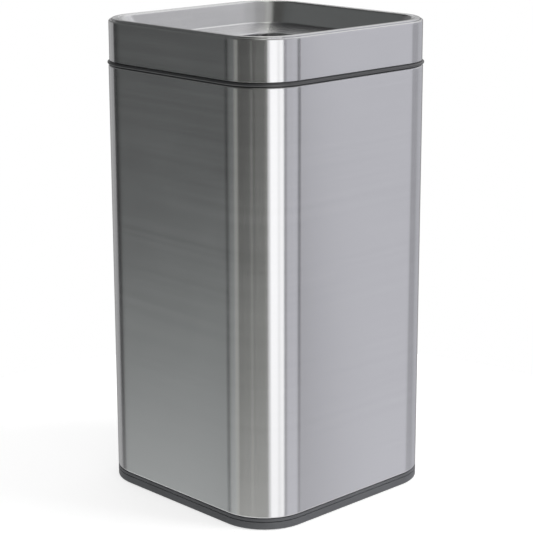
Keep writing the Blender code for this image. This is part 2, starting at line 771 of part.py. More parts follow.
def make_bucket(material, bucket):
    """Drafted bucket with a stacking step, a turned-down rim on the collar's ledge and two ears."""
    rim_low = BUCKET_RIM_TOP - BUCKET_RIM
    rim_under = BUCKET_RIM_TOP - BUCKET_WALL
    step_top = BUCKET_RIM_TOP - BUCKET_STEP_DEPTH
    step_low = step_top - BUCKET_STEP_HEIGHT
    under = BUCKET_RIM_TOP - BUCKET_HEIGHT
    waist = BUCKET_INSET + BUCKET_STEP
    bottom = waist + BUCKET_DRAFT
    inner_round = BUCKET_BOTTOM_ROUND - BUCKET_WALL
    piece = add_object(
        "inner_bucket",
        vessel_mesh(
            [
                (bottom + BUCKET_WALL + BUCKET_BOTTOM_ROUND, under + BUCKET_FLOOR),
                (bottom + BUCKET_WALL, under + BUCKET_FLOOR, {inner_round}),
                (waist + BUCKET_WALL, step_low),
                (BUCKET_INSET + BUCKET_WALL, step_top),
                (BUCKET_INSET + BUCKET_WALL, BUCKET_RIM_TOP, {BUCKET_MOUTH_ROUND}),
                (BUCKET_RIM_INSET, BUCKET_RIM_TOP),
                (BUCKET_RIM_INSET, rim_low),
                (BUCKET_RIM_INSET + BUCKET_WALL, rim_low),
                (BUCKET_RIM_INSET + BUCKET_WALL, rim_under),
                (BUCKET_INSET, rim_under),
                (BUCKET_INSET, step_top),
                (waist, step_low),
                (bottom, under, {BUCKET_BOTTOM_ROUND}),
                (bottom + BUCKET_WALL + BUCKET_BOTTOM_ROUND, under),
            ]
        ),
        material,
        bucket,
    )
    combine(piece, "bucket_ears", ear_mesh(bored=False), "UNION")
    combine(piece, "ear_bores", ear_mesh(bored=True), "DIFFERENCE")


def bail_route():
    """Half of the bail's centre line, from its pin in the +X ear to the middle of the grip."""
    side = HALF - BAIL_INSET
    corner = CORNER_RADIUS - BAIL_INSET
    points = [(HALF - EAR_OUTER + PIN_END, 0)]
    for step in range(ARC_STEPS + 1):
        angle = math.pi / 2 * step / ARC_STEPS
        points.append((side + WIRE_BEND * (1 - math.sin(angle)), WIRE_BEND * (1 - math.cos(angle))))
    for step in range(CORNER_STEPS + 1):
        angle = math.pi / 2 * step / CORNER_STEPS
        points.append((side - corner + corner * math.cos(angle), side - corner + corner * math.sin(angle)))
    return points


def make_bail(material, hinge):
    """Wire handle with its ends turned out into the ears, lying over the bucket's rear rim."""
    half = bail_route()
    points = half + [(-x, y) for x, y in reversed(half)]
    curve = bpy.data.curves.new("bucket_bail", "CURVE")
    curve.dimensions = "3D"
    curve.bevel_depth = WIRE_RADIUS
    curve.bevel_resolution = 2
    curve.use_fill_caps = True
    spline = curve.splines.new("POLY")
    spline.points.add(len(points) - 1)
    for point, (x, y) in zip(spline.points, points):
        point.co = (x, y, 0, 1)
    curve.materials.append(material)
    bail = bpy.data.objects.new("bucket_bail", curve)
    bpy.context.scene.collection.objects.link(bail)
    bail.parent = hinge


def make_grip(material, hinge):
    """Plastic tube on the middle of the bail, a little fuller at its waist."""
    bore = WIRE_RADIUS + GAP
    half = GRIP_LENGTH / 2
    profile = [
        (bore, -half),
        (GRIP_RADIUS - GRIP_END, -half),
        (GRIP_RADIUS - GRIP_END / 4, -half + GRIP_END),
        (GRIP_RADIUS, -half / 2),
        (GRIP_RADIUS, half / 2),
        (GRIP_RADIUS - GRIP_END / 4, half - GRIP_END),
        (GRIP_RADIUS - GRIP_END, half),
        (bore, half),
    ]
    grip = add_object("bail_grip", turned_mesh(profile), material, hinge)
    grip.data.transform(X_UP)
    grip.location = (0, HALF - BAIL_INSET, 0)


def clear_scene():
    for piece in list(bpy.data.objects):
        bpy.data.objects.remove(piece)


def main():
    clear_scene()
    steel, grey, black = brushed_steel(), grey_plastic(), black_plastic()
    plated, foot_rubber = plated_steel(), rubber()
    bucket = add_empty("bucket_lift", (0, 0, 0), None)
    lid = add_empty("lid_lift", (0, 0, 0), bucket)
    hinge = add_empty("bail_swing", (0, 0, PIVOT_HEIGHT), bucket)
    make_feet(foot_rubber)
    make_base_plate(grey)
    make_base_frame(grey)
    make_base_screws(plated)
    make_shell(steel)
    make_collar(grey)
    make_bucket(black, bucket)
    make_bail(plated, hinge)
    make_grip(black, hinge)
    make_carrier(black, lid)
    make_lid_band(steel, lid)
    make_funnel(steel, lid)
    make_nuts(plated, lid)


main()
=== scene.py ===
import math

import bmesh
import bpy
from mathutils import Matrix, Vector


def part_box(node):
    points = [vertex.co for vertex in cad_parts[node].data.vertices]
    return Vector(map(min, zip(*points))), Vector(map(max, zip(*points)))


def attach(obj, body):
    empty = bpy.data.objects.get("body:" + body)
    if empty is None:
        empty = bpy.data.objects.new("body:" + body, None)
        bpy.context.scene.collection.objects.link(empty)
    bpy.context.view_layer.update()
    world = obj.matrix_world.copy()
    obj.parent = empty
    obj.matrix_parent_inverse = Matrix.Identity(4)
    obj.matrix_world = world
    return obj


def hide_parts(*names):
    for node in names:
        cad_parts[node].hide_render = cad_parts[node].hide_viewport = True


# A square wastepaper bin in brushed steel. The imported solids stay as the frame, and each
# of them is replaced by a smooth piece with its real finish.
# Lengths in the dictionaries are millimetres. An inset is a distance in from the steel body's
# outer face, and a height is measured from the floor, or from the level that its table names.

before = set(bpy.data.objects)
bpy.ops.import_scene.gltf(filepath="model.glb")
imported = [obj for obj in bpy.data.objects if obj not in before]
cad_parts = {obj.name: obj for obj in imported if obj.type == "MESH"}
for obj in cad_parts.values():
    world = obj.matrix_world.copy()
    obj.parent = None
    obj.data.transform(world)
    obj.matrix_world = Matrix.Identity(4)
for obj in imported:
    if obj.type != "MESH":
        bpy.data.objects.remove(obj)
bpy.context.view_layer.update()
millimetre = 0.001

binShape = {
    "half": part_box("body_shell")[1].x / millimetre,
    "corner": 64.0,  # radius of the plan's corners at the steel face
    "cornerSteps": 32,
    "support": 1.2,  # the last bit of a straight run, so that its shading stays flat
    "sheet": 0.8,
    "roundSteps": (4, 2),  # for a section's rounding: the least, and more for each millimetre
    "sharpAngle": 32.0,
}
flatHalf = binShape["half"] - binShape["corner"]  # half of a side's flat part
sideSigns = ((1, 1), (-1, 1), (-1, -1), (1, -1))  # of x and y at the four corners
tolerance = {"cut": 0.0005, "merge": 0.002, "same": 0.01, "row": 0.05}


def bottomOf(node):
    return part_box(node)[0].z / millimetre


def topOf(node):
    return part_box(node)[1].z / millimetre


# Finishes


def addNode(owner, kind, values=None, **settings):
    # a shader node with its own settings and the values of its sockets
    node = owner.node_tree.nodes.new(kind)
    for name, value in settings.items():
        setattr(node, name, value)
    for socket, value in (values or {}).items():
        node.inputs[socket].default_value = value
    return node


def join(owner, source, sink):
    owner.node_tree.links.new(source, sink)


def objectPlace(owner):
    return addNode(owner, "ShaderNodeTexCoord").outputs["Object"]


def newFinish(name, values):
    material = bpy.data.materials.new(name)
    material.use_nodes = True
    shader = material.node_tree.nodes["Principled BSDF"]
    for socket, value in values.items():
        shader.inputs[socket].default_value = value
    return material, shader


def stretchedNoise(owner, place, scale, detail=3.0, roughness=0.5, distortion=0.0):
    # noise stretched along one direction, as brushing and mould flow are
    mapping = addNode(owner, "ShaderNodeMapping", {"Scale": scale})
    levels = {"Scale": 1.0, "Detail": detail, "Roughness": roughness, "Distortion": distortion}
    texture = addNode(owner, "ShaderNodeTexNoise", levels)
    join(owner, place, mapping.inputs["Vector"])
    join(owner, mapping.outputs["Vector"], texture.inputs["Vector"])
    return texture.outputs["Fac"]


def remap(owner, source, given, wanted):
    ends = {"From Min": given[0], "From Max": given[1], "To Min": wanted[0], "To Max": wanted[1]}
    node = addNode(owner, "ShaderNodeMapRange", ends)
    join(owner, source, node.inputs["Value"])
    return node.outputs["Result"]


def combineValues(owner, operation, first, second):
    node = addNode(owner, "ShaderNodeMath", operation=operation)
    for socket, value in zip(node.inputs, (first, second)):
        if isinstance(value, float):
            socket.default_value = value
        else:
            join(owner, value, socket)
    return node.outputs["Value"]


def tinted(owner, factor, dark, light):
    node = addNode(owner, "ShaderNodeMix", data_type="RGBA")
    colours = [socket for socket in node.inputs if socket.type == "RGBA"]
    for socket, colour in zip(colours, (dark, light)):
        socket.default_value = (*colour, 1)
    join(owner, factor, node.inputs["Factor"])
    return next(socket for socket in node.outputs if socket.type == "RGBA")


def blended(owner, first, second, share):
    # the first pattern by this share, and the rest from the second
    kept = combineValues(owner, "MULTIPLY", first, share)
    rest = combineValues(owner, "MULTIPLY", second, 1 - share)
    return combineValues(owner, "ADD", kept, rest)


noiseSpan = (0.32, 0.68)  # nearly all of a noise's values lie in here


def setColour(material, shader, pattern, look):
    factor = remap(material, pattern, noiseSpan, (0.0, 1.0))
    colour = tinted(material, factor, look["dark"], look["light"])
    join(material, colour, shader.inputs["Base Color"])


def setRoughness(material, shader, pattern, look):
    level = remap(material, pattern, noiseSpan, look["roughness"])
    join(material, level, shader.inputs["Roughness"])


def addBump(material, shader, height, look):
    strength, depth = look["bump"]
    values = {"Strength": strength, "Distance": depth * millimetre}
    bump = addNode(material, "ShaderNodeBump", values)
    join(material, height, bump.inputs["Height"])
    join(material, bump.outputs["Normal"], shader.inputs["Normal"])


brushed = {
    "metal": {"Metallic": 1.0, "Anisotropic": 1.0, "Anisotropic Rotation": 0.25, "IOR": 2.5},
    "dark": (0.600, 0.600, 0.610),
    "light": (0.636, 0.636, 0.646),
    "roughness": (0.205, 0.240),
    # scales are how often a pattern repeats in a metre along the brushing and across it
    "hairlines": {"scale": (6.0, 3000.0, 1.0), "detail": 1.0},
    "bands": {"scale": (1.5, 110.0, 1.0), "detail": 2.0},
    "clouds": {"scale": (7.0, 9.0, 1.0), "distortion": 0.8},
    "hairlineShare": 0.3,  # of the lines, the rest are bands
    "lineShare": 0.6,  # of the colour, the rest is clouds
    "bandShare": 0.5,  # of the roughness, the rest is clouds
    "bump": (0.15, 0.002),  # strength and depth
    "overRim": 1.5,  # how fast the pattern runs where the sheet turns inwards
}


def brushedSteel():
    material, shader = newFinish("brushedSteel", brushed["metal"])
    grain = addNode(material, "ShaderNodeUVMap", uv_map="grain").outputs["UV"]
    along = addNode(material, "ShaderNodeTangent", direction_type="UV_MAP", uv_map="grain")
    join(material, along.outputs["Tangent"], shader.inputs["Tangent"])
    hairlines = stretchedNoise(material, grain, **brushed["hairlines"])
    bands = stretchedNoise(material, grain, **brushed["bands"])
    clouds = stretchedNoise(material, grain, **brushed["clouds"])
    lines = blended(material, hairlines, bands, brushed["hairlineShare"])
    setColour(material, shader, blended(material, lines, clouds, brushed["lineShare"]), brushed)
    setRoughness(material, shader, blended(material, bands, clouds, brushed["bandShare"]), brushed)
    addBump(material, shader, hairlines, brushed)
    return material


moulded = {
    "greyPlastic": {
        "dark": (0.102, 0.105, 0.112),
        "light": (0.124, 0.128, 0.137),
        "roughness": (0.40, 0.52),
        "shine": 0.5,
        "bump": (0.35, 0.05),
    },
    # painted shade: a darker copy of the grey plastic, standing for the shade that the lid band
    # casts on the collar
    "shadedCollarPlastic": {
        "dark": (0.019, 0.020, 0.022),
        "light": (0.027, 0.028, 0.031),
        "roughness": (0.28, 0.38),
        "shine": 1.0,
        "bump": (0.35, 0.05),
    },
    "blackPlastic": {
        "dark": (0.019, 0.019, 0.021),
        "light": (0.026, 0.026, 0.028),
        "roughness": (0.42, 0.56),
        "shine": 0.5,
        "bump": (0.35, 0.05),
    },
}
mouldTexture = {
    "index": 1.52,
    "pores": {"scale": (2600, 2600, 2600), "detail": 2.0},
    "clouds": {"scale": (18, 18, 40), "detail": 4.0},
    "rubbed": {"scale": (90, 90, 260), "detail": 5.0, "roughness": 0.7},
    "cloudShare": 0.4,  # of the roughness, the rest is rubbed spots
}


def mouldedPlastic(name):
    # spark-eroded texture with faint clouds, and rubbed spots that shine a little more
    look = moulded[name]
    values = {"IOR": mouldTexture["index"], "Specular IOR Level": look["shine"]}
    material, shader = newFinish(name, values)
    place = objectPlace(material)
    pores = stretchedNoise(material, place, **mouldTexture["pores"])
    clouds = stretchedNoise(material, place, **mouldTexture["clouds"])
    rubbed = stretchedNoise(material, place, **mouldTexture["rubbed"])
    setColour(material, shader, clouds, look)
    spots = blended(material, clouds, rubbed, mouldTexture["cloudShare"])
    setRoughness(material, shader, spots, look)
    addBump(material, shader, pores, look)
    return material


dusty = {
    "rubber": {"IOR": 1.5, "Specular IOR Level": 0.35},
    "dark": (0.026, 0.026, 0.026),
    "light": (0.052, 0.050, 0.047),
    "roughness": (0.68, 0.90),
    "dust": {"scale": (300, 300, 300), "detail": 6.0, "roughness": 0.7},
    "skin": {"scale": (1800, 1800, 1800), "detail": 2.0},
    "bump": (0.4, 0.06),
}


def footRubber():
    material, shader = newFinish("footRubber", dusty["rubber"])
    place = objectPlace(material)
    dust = stretchedNoise(material, place, **dusty["dust"])
    skin = stretchedNoise(material, place, **dusty["skin"])
    setColour(material, shader, dust, dusty)
    setRoughness(material, shader, dust, dusty)
    addBump(material, shader, skin, dusty)
    return material


plated = {
    "metal": {"Metallic": 1.0},
    "dark": (0.50, 0.51, 0.54),
    "light": (0.60, 0.60, 0.59),
    "roughness": (0.24, 0.42),
    "bloom": {"scale": (140, 140, 140), "detail": 5.0, "roughness": 0.65},
    "scratches": {"scale": (60, 2200, 2200)},
    "bump": (0.2, 0.02),
}


def platedSteel():
    material, shader = newFinish("platedSteel", plated["metal"])
    place = objectPlace(material)
    bloom = stretchedNoise(material, place, **plated["bloom"])
    scratches = stretchedNoise(material, place, **plated["scratches"])
    setColour(material, shader, bloom, plated)
    setRoughness(material, shader, bloom, plated)
    addBump(material, shader, scratches, plated)
    return material


# Shapes


def bevel(mesh, geometry, affect, offset, steps):
    bmesh.ops.bevel(
        mesh,
        geom=geometry,
        affect=affect,
        offset=offset,
        offset_type="OFFSET",
        segments=steps,
        profile=0.5,
        material=-1,
    )


def addWire(mesh, points, closed=False):
    verts = [mesh.verts.new(Vector(point) * millimetre) for point in points]
    pairs = list(zip(verts, verts[1:]))
    if closed:
        pairs.append((verts[-1], verts[0]))
    return verts, [mesh.edges.new(pair) for pair in pairs]


def roundVert(mesh, vert, radius, steps):
    # rounds a wire's corner to this radius
    before, after = [edge.other_vert(vert).co - vert.co for edge in vert.link_edges]
    turn = math.pi - before.angle(after)
    bevel(mesh, [vert], "VERTICES", radius * millimetre * math.tan(turn / 2), steps)


def drawSection(mesh, rows, level, closed):
    # a section of (inset, height[, radius]) drawn as a wire over the middle of the front
    points = [(0, row[0] - binShape["half"], row[1] + level) for row in rows]
    verts, _ = addWire(mesh, points, closed)
    least, more = binShape["roundSteps"]
    for vert, row in zip(verts, rows):
        if len(row) > 2:
            roundVert(mesh, vert, row[2], least + int(row[2] * more))


def sweep(mesh, geometry, run=None, turn=None, steps=1):
    # carries the last edges along a run, or round a turn of (centre, degrees)
    if run:
        motion = {"cent": (0, 0, 0), "dvec": Vector(run) * millimetre, "angle": 0}
    else:
        centre, degrees = turn
        motion = {"cent": Vector(centre) * millimetre, "angle": math.radians(degrees)}
    moved = bmesh.ops.spin(mesh, geom=geometry, axis=(0, 0, 1), steps=steps, **motion)
    return moved["geom_last"]


def turnCopies(mesh):
    # three more copies of what there is, a quarter turn apart
    bmesh.ops.spin(
        mesh,
        geom=mesh.verts[:] + mesh.edges[:] + mesh.faces[:],
        cent=(0, 0, 0),
        axis=(0, 0, 1),
        angle=math.radians(270),
        steps=3,
        use_duplicate=True,
    )


def mergeAndTurnOut(mesh):
    # merges the doubles, and turns the faces outwards
    bmesh.ops.remove_doubles(mesh, verts=mesh.verts, dist=tolerance["merge"] * millimetre)
    bmesh.ops.recalc_face_normals(mesh, faces=mesh.faces)


def ringMesh(rows, level, closed=True):
    # sweeps a section round the plan of the bin
    mesh = bmesh.new()
    drawSection(mesh, rows, level, closed)
    support = binShape["support"]
    corner = ((flatHalf, -flatHalf, 0), 90)
    last = mesh.verts[:] + mesh.edges[:]
    last = sweep(mesh, last, run=(flatHalf - support, 0, 0))
    last = sweep(mesh, last, run=(support, 0, 0))
    last = sweep(mesh, last, turn=corner, steps=binShape["cornerSteps"])
    last = sweep(mesh, last, run=(0, support, 0))
    sweep(mesh, last, run=(0, flatHalf - support, 0))
    turnCopies(mesh)
    mergeAndTurnOut(mesh)
    return mesh


def fillEnds(mesh):
    # closes the open ends of a pan or a wire with flat faces
    loops = [edge for edge in mesh.edges if edge.is_boundary]
    bmesh.ops.holes_fill(mesh, edges=loops, sides=0)
    bmesh.ops.recalc_face_normals(mesh, faces=mesh.faces)


def addWall(mesh):
    # gives an open skin, whose faces look outwards, the sheet's thickness on its inner side
    bmesh.ops.solidify(mesh, geom=mesh.faces[:], thickness=binShape["sheet"] * millimetre)


def raised(profile, level):
    return [(radius, height + level) for radius, height in profile]


def turnedMesh(profile, steps=48):
    # turns a profile of (radius, height) about Z, closed unless it starts on the axis
    mesh = bmesh.new()
    points = [(radius, 0, height) for radius, height in profile]
    verts, edges = addWire(mesh, points, closed=profile[0][0] > 0)
    bmesh.ops.spin(
        mesh,
        geom=verts + edges,
        cent=(0, 0, 0),
        axis=(0, 0, 1),
        angle=math.tau,
        steps=steps,
        use_merge=True,
    )
    mergeAndTurnOut(mesh)
    return mesh


def cornerPlaces(inset):
    # the middle of each rounded corner, this far in
    out = flatHalf + (binShape["corner"] - inset) * math.sqrt(0.5)
    return [(x * out, y * out, 0) for x, y in sideSigns]


def putInto(mesh, part, places=((0, 0, 0),)):
    # adds a copy of a small part at each place, and frees it
    for place in places:
        data = bpy.data.meshes.new("copied")
        part.to_mesh(data)
        data.transform(Matrix.Translation(Vector(place) * millimetre))
        mesh.from_mesh(data)
        bpy.data.meshes.remove(data)
    part.free()


def boxMesh(low, high, soften=0.0):
    mesh = bmesh.new()
    bmesh.ops.create_cube(mesh, size=1)
    low, high = Vector(low) * millimetre, Vector(high) * millimetre
    bmesh.ops.scale(mesh, verts=mesh.verts, vec=high - low)
    bmesh.ops.translate(mesh, verts=mesh.verts, vec=(low + high) / 2)
    if soften:
        bevel(mesh, mesh.edges[:], "EDGES", soften * millimetre, 2)
    return mesh


def addSlab(mesh, x, outline, width):
    # an upright slab that starts at x and has this outline of (y, height)
    verts = [mesh.verts.new(Vector((x, y, height)) * millimetre) for y, height in outline]
    face = mesh.faces.new(verts)
    grown = bmesh.ops.extrude_face_region(mesh, geom=[face], use_keep_orig=True)["geom"]
    moved = [part for part in grown if isinstance(part, bmesh.types.BMVert)]
    bmesh.ops.translate(mesh, verts=moved, vec=(width * millimetre, 0, 0))


def ribsMesh(outline, width, shares, level):
    # a slab with this outline of (inset, height) at each share of each side's flat part
    mesh = bmesh.new()
    points = [(inset - binShape["half"], height + level) for inset, height in outline]
    for share in shares:
        addSlab(mesh, share * flatHalf - width / 2, points, width)
    bmesh.ops.recalc_face_normals(mesh, faces=mesh.faces)
    turnCopies(mesh)
    return mesh


def addRod(mesh, radius, length, matrix, steps=32):
    bmesh.ops.create_cone(
        mesh,
        cap_ends=True,
        segments=steps,
        radius1=radius * millimetre,
        radius2=radius * millimetre,
        depth=length * millimetre,
        matrix=matrix,
    )


def rodsMesh(places, radius, low, high, steps=32):
    mesh = bmesh.new()
    for place in places:
        middle = Vector((place[0], place[1], (low + high) / 2)) * millimetre
        addRod(mesh, radius, high - low, Matrix.Translation(middle), steps)
    return mesh


def lyingAt(x, z):
    # puts what stands on Z along X, over the bin's middle line
    return Matrix.Translation(Vector((x, 0, z)) * millimetre) @ Matrix.Rotation(math.pi / 2, 4, "Y")


def beyondCorner(point, half, corner):
    # how far a point is from its corner's centre, or on a side from the centres' line
    out = Vector((abs(point.x) - half + corner, abs(point.y) - half + corner))
    return out.length if min(out) > 0 else max(out)


def layGrain(mesh):
    # u runs round the bin, and v across the brushing, up the outer face and over the rim
    layer = mesh.loops.layers.uv.new("grain")
    half, corner = binShape["half"] * millimetre, binShape["corner"] * millimetre
    for face in mesh.faces:
        middle = face.calc_center_median()
        home = math.atan2(middle.x, -middle.y)
        for loop in face.loops:
            place = loop.vert.co
            angle = math.atan2(place.x, -place.y)
            angle += math.tau * round((home - angle) / math.tau)
            inset = corner - beyondCorner(place, half, corner)
            loop[layer].uv = (angle * half, inset * brushed["overRim"] - place.z)


def newObject(name, mesh):
    # an object of this mesh, which is freed
    data = bpy.data.meshes.new(name)
    mesh.to_mesh(data)
    mesh.free()
    thing = bpy.data.objects.new(name, data)
    bpy.context.scene.collection.objects.link(thing)
    return thing


def finishPiece(name, mesh, material, body, nodes, grain=False):
    if grain:
        layGrain(mesh)
    piece = newObject(name, mesh)
    piece.data.materials.append(material)
    piece.data.shade_smooth()
    piece.data.set_sharp_from_angle(angle=math.radians(binShape["sharpAngle"]))
    even = piece.modifiers.new("evenShading", "WEIGHTED_NORMAL")
    even.weight = 100
    even.keep_sharp = True
    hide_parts(*nodes)
    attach(piece, body)
    return piece


def carve(mesh, toolMesh, operation="DIFFERENCE"):
    # cuts a helper shape out of a mesh, or joins it, and gives back the mesh
    piece, tool = newObject("blank", mesh), newObject("cutter", toolMesh)
    modifier = piece.modifiers.new("cut", "BOOLEAN")
    modifier.operation = operation
    modifier.object = tool
    evaluated = piece.evaluated_get(bpy.context.evaluated_depsgraph_get())
    result = bmesh.new()
    result.from_mesh(evaluated.to_mesh())
    evaluated.to_mesh_clear()
    for helper in (piece, tool):
        data = helper.data
        bpy.data.objects.remove(helper)
        bpy.data.meshes.remove(data)
    return result


def drill(mesh, places, hole, level):
    # cuts a hole of (radius, lower end, upper end) at each place
    radius, low, high = hole
    return carve(mesh, rodsMesh(places, radius, level + low, level + high))


steel = brushedSteel()
greyPlastic, blackPlastic = mouldedPlastic("greyPlastic"), mouldedPlastic("blackPlastic")
shadedCollarPlastic = mouldedPlastic("shadedCollarPlastic")
rubber, zinc = footRubber(), platedSteel()
print("finishes ready")

# Body

shell = {
    "turnedEdge": 4.0,
    "edgeRound": 2.4,
    "seamWidth": 1.2,
    "seamDepth": 0.3,
    "foldWidth": 10.0,
    "foldDepth": 1.4,
    "foldStop": 2.0,
    "foldSunk": 0.1,  # into the wall that it lies on
    "foldRound": 0.4,
}


def pressSeam(mesh):
    # a fine groove down the rear, between two cuts beside the middle row
    for side in (-1, 1):
        rear = [face for face in mesh.faces if face.calc_center_median().y > 0]
        around = rear + list(dict.fromkeys(edge for face in rear for edge in face.edges))
        around += list(dict.fromkeys(vert for face in rear for vert in face.verts))
        bmesh.ops.bisect_plane(
            mesh,
            geom=around,
            dist=tolerance["cut"] * millimetre,
            plane_co=(side * shell["seamWidth"] / 2 * millimetre, 0, 0),
            plane_no=(1, 0, 0),
        )
    for vert in mesh.verts:
        if abs(vert.co.x) < tolerance["same"] * millimetre and vert.co.y > 0:
            vert.co.y -= shell["seamDepth"] * millimetre


def makeShell():
    low, high = bottomOf("body_shell"), topOf("body_shell")
    rows = [
        (shell["turnedEdge"], low),
        (0, low, shell["edgeRound"]),
        (0, high, shell["edgeRound"]),
        (shell["turnedEdge"], high),
    ]
    mesh = ringMesh(rows, 0, closed=False)
    pressSeam(mesh)
    addWall(mesh)
    wide, stop = shell["foldWidth"] / 2, shell["foldStop"]
    inner = binShape["half"] - binShape["sheet"]
    near, far = inner - shell["foldDepth"], inner + shell["foldSunk"]
    fold = boxMesh((-wide, near, low + stop), (wide, far, high - stop), shell["foldRound"])
    putInto(mesh, fold)
    return finishPiece("bodyShell", mesh, steel, "body", ["body_shell"], grain=True)


collar = {
    # inset and height below the collar's top: neck, bead, seat, ledge and snap edge
    "section": [
        (1.2, -4.6),
        (1.2, -3.8, 0.2),
        (-1.4, -3.8, 1.4),
        (-1.4, -0.7, 1.4),
        (1.2, -0.7, 0.2),
        (1.2, 0.0, 0.2),
        (6.3, 0.0, 0.4),
        (6.3, -8.6, 0.3),
        (14.5, -8.6, 0.5),
        (14.5, -10.6, 0.5),
        (6.3, -10.6),
        (6.3, -22.9, 0.4),
        (4.3, -22.9, 0.4),
        (4.3, -10.0),
        (2.8, -6.75),
        (2.8, -6.0),
        (4.3, -6.0),
        (4.3, -4.6),
    ],
    "ribShares": (-0.5, 0.5),
    "ribWidth": 1.8,
    "rib": [(5.3, -9.6), (14.2, -9.6), (14.2, -11.1), (6.6, -22.4), (5.3, -22.4)],
}


def makeCollar():
    level = topOf("collar")
    mesh = ringMesh(collar["section"], level)
    putInto(mesh, ribsMesh(collar["rib"], collar["ribWidth"], collar["ribShares"], level))
    # the collar takes the darkened copy of the grey plastic, painted shade under the lid band
    return finishPiece("topCollar", mesh, shadedCollarPlastic, "body", ["collar"])


baseFrame = {
    # inset and height above the strip's lower edge
    "section": [
        (4.3, 3.6),
        (0.0, 3.6, 0.4),
        (0.0, 0.0, 0.4),
        (22.0, 0.0),
        (22.0, 2.2, 0.5),
        (7.0, 2.2, 0.8),
        (7.0, 21.9, 0.4),
        (4.3, 21.9, 0.4),
        (4.3, 9.0),
        (2.8, 5.75),
        (2.8, 5.0),
        (4.3, 5.0),
    ],
    "screwInset": 16.0,
    "screwHole": (2.2, -1.0, 4.0),  # radius, then the ends of the cut
    "boss": [(2.2, 1.7), (4.7, 1.7), (4.7, 13.8), (4.3, 14.2), (2.5, 14.2), (2.2, 13.9)],
}


def makeBaseFrame():
    level = bottomOf("base_frame")
    mesh = ringMesh(baseFrame["section"], level)
    places = cornerPlaces(baseFrame["screwInset"])
    mesh = drill(mesh, places, baseFrame["screwHole"], level)
    putInto(mesh, turnedMesh(raised(baseFrame["boss"], level)), places)
    return finishPiece("baseFrame", mesh, greyPlastic, "body", ["base_frame"])


basePlate = {
    # inset and height above the band's lower edge, from the floor's top to its underside
    "section": [
        (5.3, 6.2, 0.5),
        (5.3, 10.2, 0.4),
        (2.9, 10.2, 0.4),
        (2.9, 9.6),
        (0.0, 9.6, 0.4),
        (0.0, 0.0, 1.4),
        (2.6, 0.0, 0.6),
        (2.6, 4.0, 0.6),
    ],
    "floorInset": 12.0,
    "footPlace": 108.0,
    "screwHole": (2.2, 3.0, 7.0),
    "pad": [
        (0.0, 1.5),
        (11.3, 1.5),
        (11.3, 0.2),
        (11.5, 0.0),
        (13.9, 0.0),
        (14.3, 0.4),
        (14.3, 4.4),
        (0.0, 4.4),
    ],
    "column": [(2.2, 6.0), (4.7, 6.0), (4.7, 9.9), (4.4, 10.2), (2.2, 10.2)],
    "ribShares": (-0.42, 0.42),
    "ribWidth": 1.6,
    "ribHeights": (0.8, 4.3),
    "ribReach": 157.4,
    "ribRound": 0.3,
}


def footPlaces():
    out = basePlate["footPlace"]
    return [(x * out, y * out, 0) for x, y in sideSigns]


def makeBasePlate():
    level = bottomOf("base_plate")
    rows = basePlate["section"]
    floorTop, floorUnder = [(basePlate["floorInset"], row[1]) for row in (rows[0], rows[-1])]
    mesh = ringMesh([floorTop] + rows + [floorUnder], level, closed=False)
    fillEnds(mesh)
    places = cornerPlaces(baseFrame["screwInset"])
    mesh = drill(mesh, places, basePlate["screwHole"], level)
    putInto(mesh, turnedMesh(raised(basePlate["column"], level)), places)
    putInto(mesh, turnedMesh(raised(basePlate["pad"], level)), footPlaces())
    reach, wide = basePlate["ribReach"], basePlate["ribWidth"] / 2
    low, high = [level + height for height in basePlate["ribHeights"]]
    for share in basePlate["ribShares"]:
        place = share * binShape["half"]
        ends = (-reach, place - wide, low), (reach, place + wide, high)
        putInto(mesh, boxMesh(*ends, basePlate["ribRound"]))
        ends = (place - wide, -reach, low), (place + wide, reach, high)
        putInto(mesh, boxMesh(*ends, basePlate["ribRound"]))
    return finishPiece("basePlate", mesh, greyPlastic, "body", ["base_plate"])


screw = {
    "head": [(0.0, 2.3), (2.2, 2.3), (3.1, 2.55), (3.6, 3.1), (3.8, 3.8), (3.8, 4.5)],
    "shank": [(1.9, 4.5), (1.9, 18.4), (0.0, 20.3)],
    "cross": (4.0, 0.9, 1.3),  # length, width and depth of an arm of the driver's cross
    "cutFrom": 2.0,  # just under the head
}


def makeScrews():
    length, width, depth = screw["cross"]
    low, high = screw["cutFrom"], screw["head"][0][1] + depth
    for number, place in enumerate(cornerPlaces(baseFrame["screwInset"]), 1):
        mesh = turnedMesh(screw["head"] + screw["shank"])
        for x, y in ((length / 2, width / 2), (width / 2, length / 2)):
            mesh = carve(mesh, boxMesh((-x, -y, low), (x, y, high)))
        bmesh.ops.translate(mesh, verts=mesh.verts, vec=Vector(place) * millimetre)
        node = f"base_screw_{number}"
        finishPiece(f"baseScrew{number}", mesh, zinc, "body", [node])


foot = {
    # radius and height, from the recess in the middle of the tread over its groove to the top
    "profile": [
        (0.0, 0.3),
        (3.0, 0.3),
        (3.3, 0.0),
        (4.6, 0.0),
        (4.9, 0.3),
        (6.6, 0.3),
        (6.9, 0.0),
        (10.6, 0.0),
        (10.85, 0.12),
        (11.0, 0.4),
        (11.0, 1.8),
        (10.8, 2.0),
        (0.0, 2.0),
    ],
}


def makeFeet():
    for number, place in enumerate(footPlaces(), 1):
        mesh = turnedMesh(foot["profile"])
        bmesh.ops.translate(mesh, verts=mesh.verts, vec=Vector(place) * millimetre)
        finishPiece(f"foot{number}", mesh, rubber, "body", [f"foot_{number}"])


makeShell()
makeCollar()
makeBaseFrame()
makeBasePlate()
makeScrews()
makeFeet()
print("body made")

# Bucket and bail

